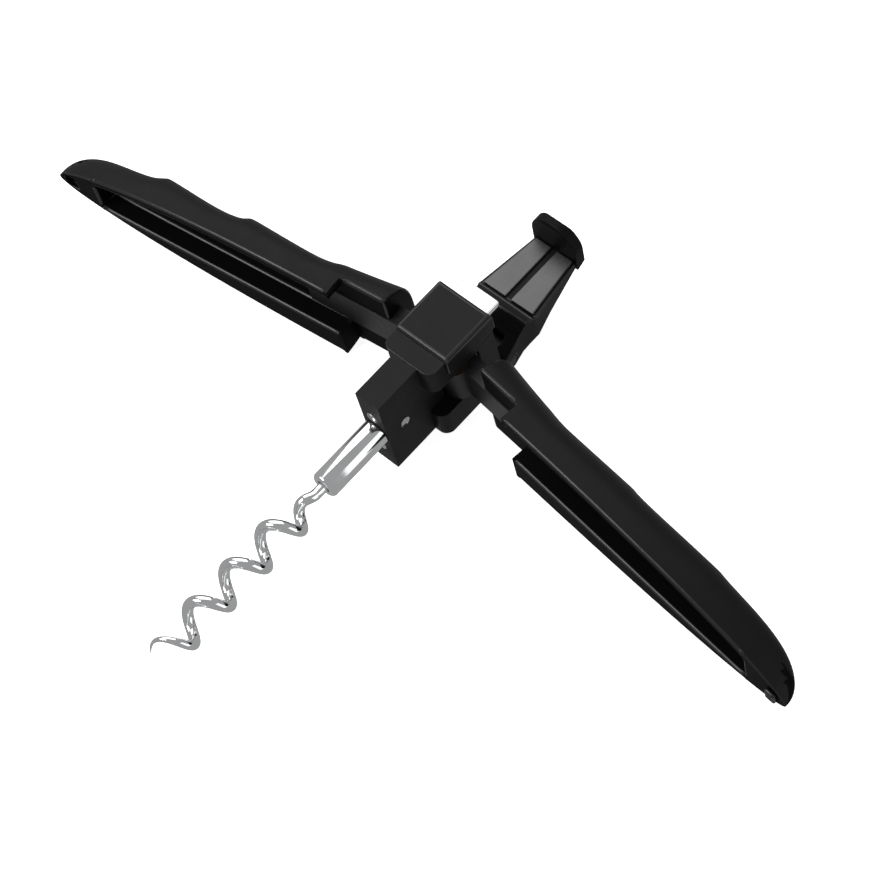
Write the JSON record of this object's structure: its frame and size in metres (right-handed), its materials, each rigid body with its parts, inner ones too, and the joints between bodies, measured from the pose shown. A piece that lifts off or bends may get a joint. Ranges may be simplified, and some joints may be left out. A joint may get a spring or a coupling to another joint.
{
  "type": "lever corkscrew",
  "caption": "Pocket lever corkscrew opened to a T: folding channel handles, a fixed steel worm under a deep hub, and a hinged cap-lifter arm.",
  "frame": {"origin": "on the hub's flat back, level with the handles' hinges and on the worm's plane of symmetry", "axes": "+X along the right handle, +Y up the worm's axis away from its point, +Z out of the front"},
  "size_m": [0.1998, 0.1203, 0.0246],
  "materials": {
    "black_plastic": "satin moulded",
    "cover_plastic": "fine satin",
    "grey_plastic": "satin moulded",
    "chrome": "polished chrome plate",
    "steel": "bright steel",
    "dark_steel": "black oxide",
    "brass": "plain",
    "panel_metal": "brushed",
    "soft_black": "satin"
  },
  "bodies": {
    "hub": {"stem": "grey_plastic", "rear_plate": "black_plastic", "front_plate": "grey_plastic", "front_cover": "cover_plastic", "spacer": "black_plastic", "cap_lifter": "chrome", "shank": "chrome", "worm": "chrome", "shank_pin": "steel", "end_screws": "steel", "hub_screws": "dark_steel", "left_hinge_pin": "steel", "right_hinge_pin": "steel", "hinge_washers": "brass", "handle_spring": "steel", "arm_pin": "steel", "arm_spring": "steel"},
    "left_handle": {"left_shell": "black_plastic", "left_tang": "dark_steel", "left_dowels": "steel"},
    "right_handle": {"right_shell": "black_plastic", "right_tang": "dark_steel", "right_dowels": "steel", "tip_catch": "black_plastic"},
    "arm": {"arm_lever": "black_plastic", "left_arm_panel": "panel_metal", "right_arm_panel": "panel_metal", "arm_tip_cap": "soft_black"}
  },
  "joints": [
    {"name": "right_fold", "type": "hinge", "parent": "hub", "child": "right_handle", "pos_m": [0.0041, -0.0004, 0.012], "axis": [0, 0, -1], "range_deg": [0, 83.4]},
    {"name": "left_fold", "type": "hinge", "parent": "hub", "child": "left_handle", "pos_m": [-0.0041, -0.0004, 0.012], "axis": [0, 0, 1], "range_deg": [0, 83.4]},
    {"name": "arm_fold", "type": "hinge", "parent": "hub", "child": "arm", "pos_m": [0, 0.0122, 0.0028], "axis": [-1, 0, 0], "range_deg": [0, 95]}
  ]
}
